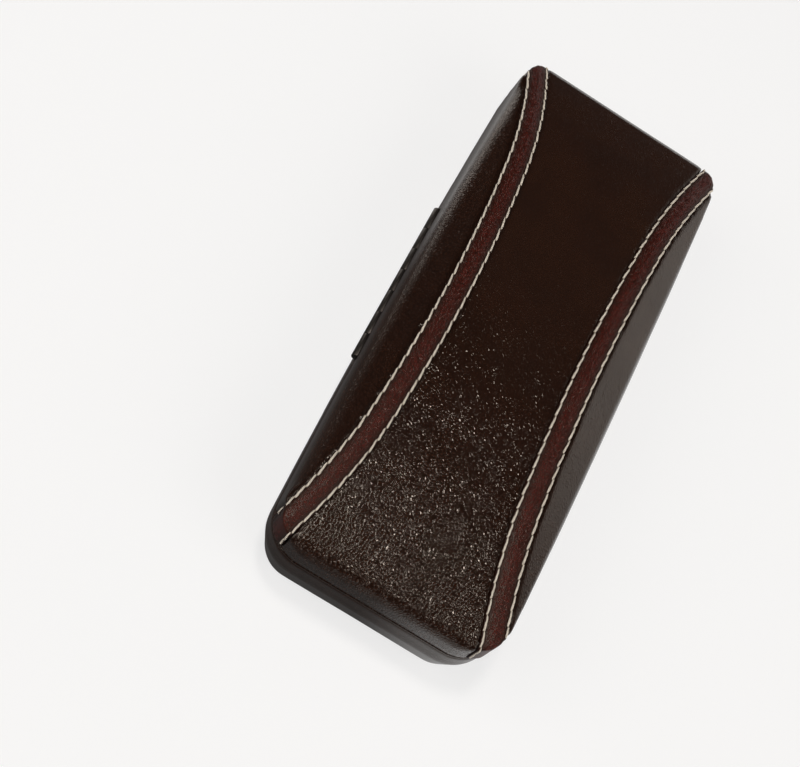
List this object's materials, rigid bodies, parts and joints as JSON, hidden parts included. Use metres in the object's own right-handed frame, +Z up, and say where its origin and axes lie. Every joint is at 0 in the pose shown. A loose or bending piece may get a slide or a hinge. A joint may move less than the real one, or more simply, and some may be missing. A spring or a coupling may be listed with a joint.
{
  "type": "hard glasses case",
  "caption": "Hinged clamshell glasses case: leather over a steel shell, arched lid with slanted side facets, stitched accent strips and a flocked lining.",
  "frame": {"origin": "on the supporting surface, under the middle of the case's leather body (the hinge barrel stands 1.2 mm proud of it at +Y)", "axes": "+X along the case, +Y towards the hinge side, -Y the opening side, +Z up through the lid"},
  "size_m": [0.16, 0.0652, 0.0372],
  "materials": {
    "leather": "very dark brown pebbled leather, semi-gloss",
    "accent_leather": "dark oxblood grained leather, semi-gloss, lightly padded",
    "thread": "off-white waxed sewing thread",
    "shell_steel": "pressed sheet steel, hidden between leather and lining",
    "hinge_steel": "dark plated steel",
    "lining": "short dark flock on a moulded tray"
  },
  "bodies": {
    "base": {"base_cover": "leather", "base_shell": "shell_steel", "base_liner": "lining", "base_rim_fold": "leather", "hinge_leaf_base": "hinge_steel", "hinge_pin": "hinge_steel", "snap_spring": "hinge_steel", "hinge_rivet_base_1": "hinge_steel", "hinge_rivet_base_2": "hinge_steel", "hinge_rivet_base_3": "hinge_steel"},
    "lid": {"lid_top_panel": "leather", "lid_front_panel": "leather", "lid_back_panel": "leather", "lid_front_strip": "accent_leather", "lid_back_strip": "accent_leather", "stitches_front_outer": "thread", "stitches_front_inner": "thread", "stitches_back_outer": "thread", "stitches_back_inner": "thread", "lid_shell": "shell_steel", "lid_liner": "lining", "lid_rim_fold": "leather", "hinge_leaf_lid": "hinge_steel", "hinge_rivet_lid_1": "hinge_steel", "hinge_rivet_lid_2": "hinge_steel", "hinge_rivet_lid_3": "hinge_steel"}
  },
  "joints": [
    {"name": "lid_hinge", "type": "hinge", "parent": "base", "child": "lid", "pos_m": [0, 0.032, 0.022], "axis": [-1, 0, 0], "range_deg": [0, 110]}
  ]
}
